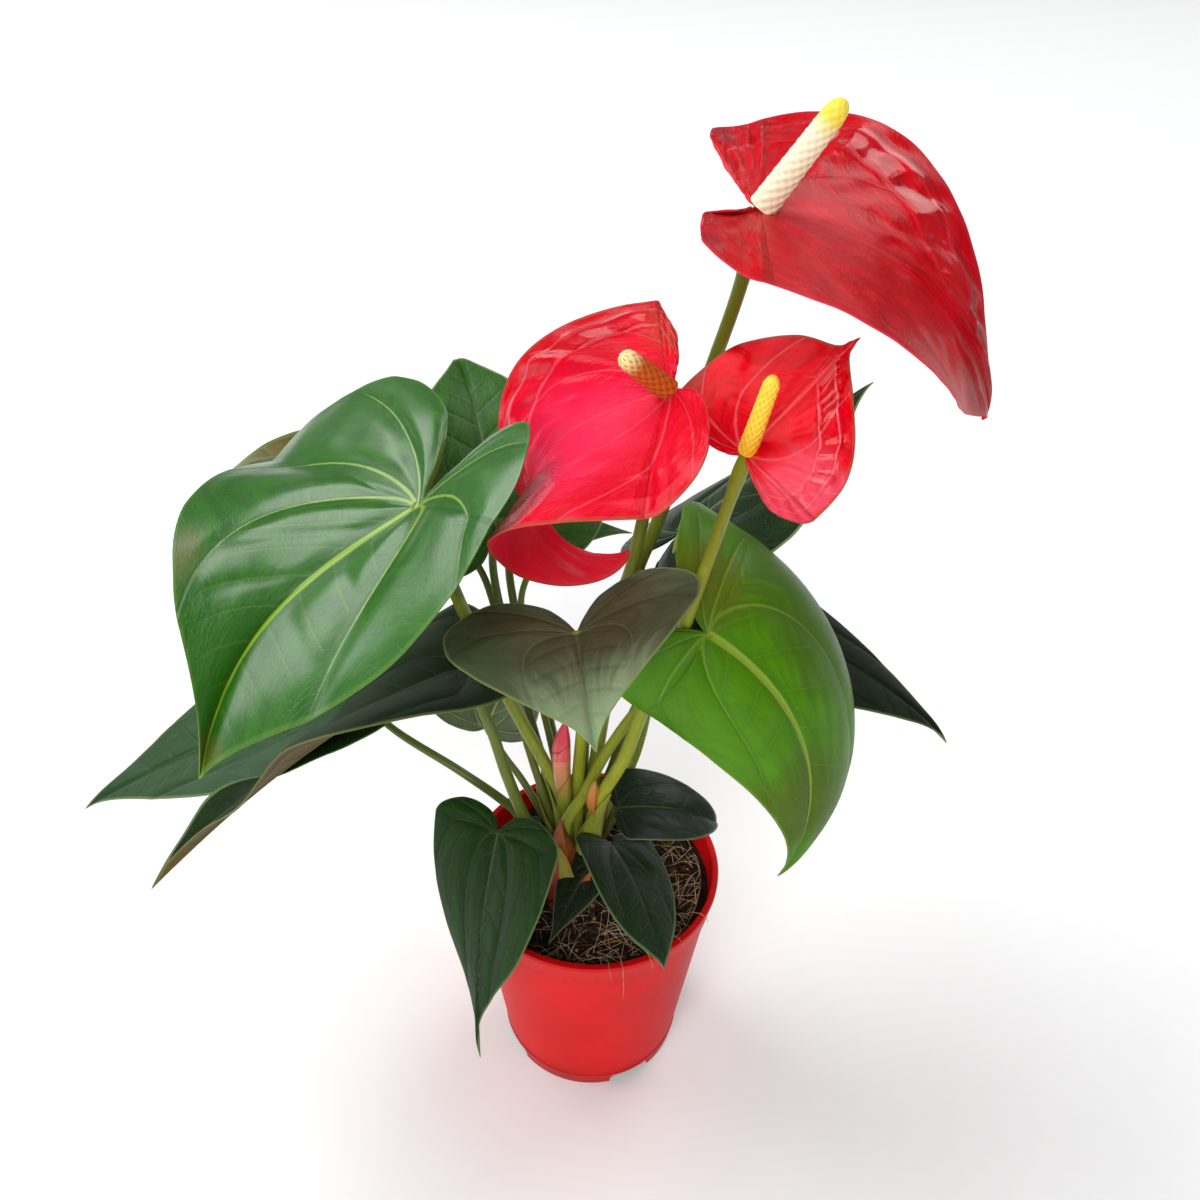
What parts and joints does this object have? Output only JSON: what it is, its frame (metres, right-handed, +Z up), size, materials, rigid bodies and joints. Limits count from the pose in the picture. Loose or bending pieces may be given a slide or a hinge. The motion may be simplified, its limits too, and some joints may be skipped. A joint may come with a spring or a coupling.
{
  "type": "potted anthurium",
  "caption": "Flowering anthurium in a round tapered pot: heart-shaped leaves and waxy flowers with upright spikes on long stalks rising from a crown in soil.",
  "frame": {"origin": "centre of the pot's underside, on the surface it stands on", "axes": "+Z up; -Y towards the front, from where the picture is taken; +X to the right as seen from the front"},
  "size_m": [0.4138, 0.2443, 0.4665],
  "materials": {
    "pot": "red moulded plastic, satin, with fine scuffs",
    "soil": "dark damp peat with pale and orange-tan coir fibres",
    "crown": "yellow-green leaf sheaths with dry red-brown papery scales",
    "stalk": "smooth olive to yellow-green leaf stalk",
    "flower_stalk": "smooth olive flower stalk",
    "leaf_mid": "glossy mid-green leaf with paler veins",
    "leaf_dark": "glossy dark green leaf with pale veins",
    "leaf_black": "glossy very dark green leaf",
    "leaf_bronze": "satin grey-green leaf with a bronze cast",
    "leaf_bright": "glossy yellow-green leaf with thick pale veins",
    "leaf_olive": "satin olive young leaf",
    "leaf_grey": "satin grey-green leaf with a brownish tip",
    "spathe_top": "waxy deep crimson spathe",
    "spathe_middle": "waxy pinkish red spathe with a greenish edge",
    "spathe_small": "waxy red spathe with green-brown margins",
    "spadix_top": "matt, finely bumped, cream-white shading to yellow",
    "spadix_middle": "matt, finely bumped, orange-brown with a cream tip",
    "spadix_small": "matt, finely bumped, bright yellow",
    "bud": "waxy red rolled spathe"
  },
  "bodies": {
    "root": {"leaf_left_large": "leaf_mid", "petiole_left_large": "stalk", "leaf_left_low": "leaf_dark", "petiole_left_low": "stalk", "leaf_left_folded": "leaf_dark", "petiole_left_folded": "stalk", "leaf_front_bronze": "leaf_bronze", "petiole_front_bronze": "stalk", "leaf_right_bright": "leaf_bright", "petiole_right_bright": "stalk", "leaf_right_dark": "leaf_black", "petiole_right_dark": "stalk", "leaf_back_right": "leaf_dark", "petiole_back_right": "stalk", "leaf_back_middle": "leaf_mid", "petiole_back_middle": "stalk", "leaf_back_left": "leaf_mid", "petiole_back_left": "stalk", "leaf_back_young": "leaf_mid", "petiole_back_young": "stalk", "leaf_left_young": "leaf_olive", "petiole_left_young": "stalk", "leaf_back_low": "leaf_grey", "petiole_back_low": "stalk", "leaf_front_low": "leaf_dark", "petiole_front_low": "stalk", "leaf_left_sprout": "leaf_black", "petiole_left_sprout": "stalk", "leaf_pot_front": "leaf_dark", "petiole_pot_front": "stalk", "leaf_pot_right": "leaf_black", "petiole_pot_right": "stalk", "leaf_soil_front": "leaf_black", "petiole_soil_front": "stalk", "spathe_top": "spathe_top", "peduncle_top": "flower_stalk", "spadix_top": "spadix_top", "spathe_middle": "spathe_middle", "peduncle_middle": "flower_stalk", "spadix_middle": "spadix_middle", "spathe_small": "spathe_small", "peduncle_small": "flower_stalk", "spadix_small": "spadix_small", "bud": "bud", "crown": "crown", "pot": "pot", "soil": "soil"}
  },
  "joints": []
}
